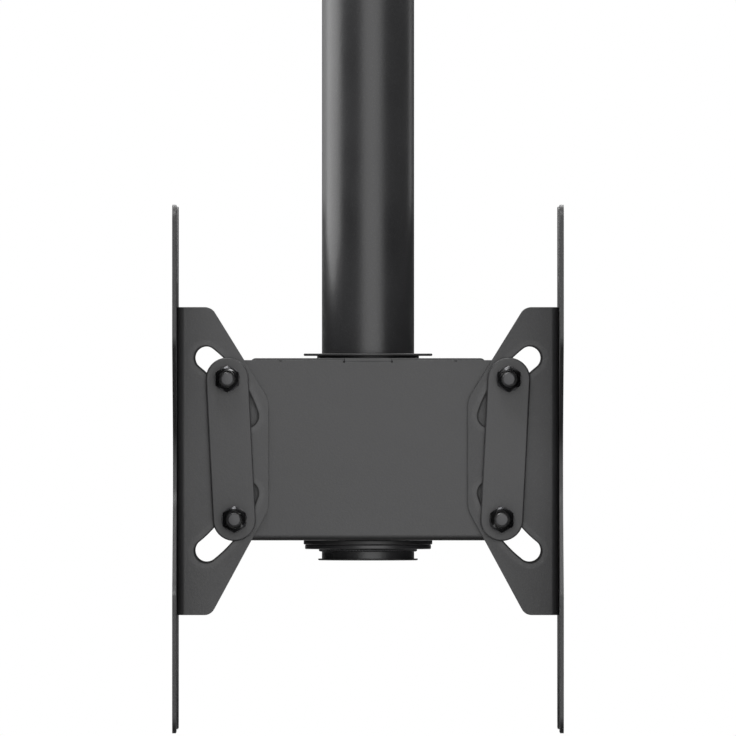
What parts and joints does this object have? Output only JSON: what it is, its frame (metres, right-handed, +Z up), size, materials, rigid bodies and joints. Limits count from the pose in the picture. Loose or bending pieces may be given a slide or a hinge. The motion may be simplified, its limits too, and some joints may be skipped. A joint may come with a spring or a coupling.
{
  "type": "double-sided screen ceiling pole mount",
  "caption": "Swivelling steel head on a round pole, with tilting brackets that carry screens back to back.",
  "frame": {"origin": "centre of the pole's open top end", "axes": "+Z up along the pole; the two screens face -X and +X; -Y faces the camera"},
  "size_m": [0.32, 0.432, 0.6417],
  "materials": {
    "black_powder_coat": "fine-grained satin black powder coat",
    "blackened_steel": "black zinc plated fasteners, semi-gloss",
    "black_plastic": "moulded black nylon"
  },
  "bodies": {
    "pole": {"pole_tube": "black_powder_coat", "support_ring": "black_powder_coat", "pole_end_cap": "black_plastic"},
    "head": {"housing_channel": "black_powder_coat", "housing_top_plate": "black_powder_coat", "housing_sleeve": "black_powder_coat", "upper_bushing": "black_plastic", "lower_bushing": "black_plastic", "swivel_lock_boss": "black_powder_coat", "swivel_lock_screw": "blackened_steel", "near_left_clamp_bar": "black_powder_coat", "far_left_clamp_bar": "black_powder_coat", "near_right_clamp_bar": "black_powder_coat", "far_right_clamp_bar": "black_powder_coat", "left_tilt_bolts": "blackened_steel", "left_slot_bushes": "black_plastic", "left_friction_washers": "black_plastic", "left_spring_washers": "blackened_steel", "left_tilt_nuts": "blackened_steel", "right_tilt_bolts": "blackened_steel", "right_slot_bushes": "black_plastic", "right_friction_washers": "black_plastic", "right_spring_washers": "blackened_steel", "right_tilt_nuts": "blackened_steel"},
    "left_bracket": {"left_yoke": "black_powder_coat", "left_screen_plate": "black_powder_coat", "left_plate_screws": "blackened_steel", "left_plate_nuts": "blackened_steel"},
    "right_bracket": {"right_yoke": "black_powder_coat", "right_screen_plate": "black_powder_coat", "right_plate_screws": "blackened_steel", "right_plate_nuts": "blackened_steel"}
  },
  "joints": [
    {"name": "swivel", "type": "hinge", "parent": "pole", "child": "head", "pos_m": [0, 0, -0.41408], "axis": [0, 0, 1], "continuous": true},
    {"name": "left_tilt", "type": "hinge", "parent": "head", "child": "left_bracket", "pos_m": [-0.1955, 0, -0.41408], "axis": [0, -1, 0], "range_deg": [-13, 19]},
    {"name": "right_tilt", "type": "hinge", "parent": "head", "child": "right_bracket", "pos_m": [0.1955, 0, -0.41408], "axis": [0, 1, 0], "range_deg": [-13, 19]}
  ]
}
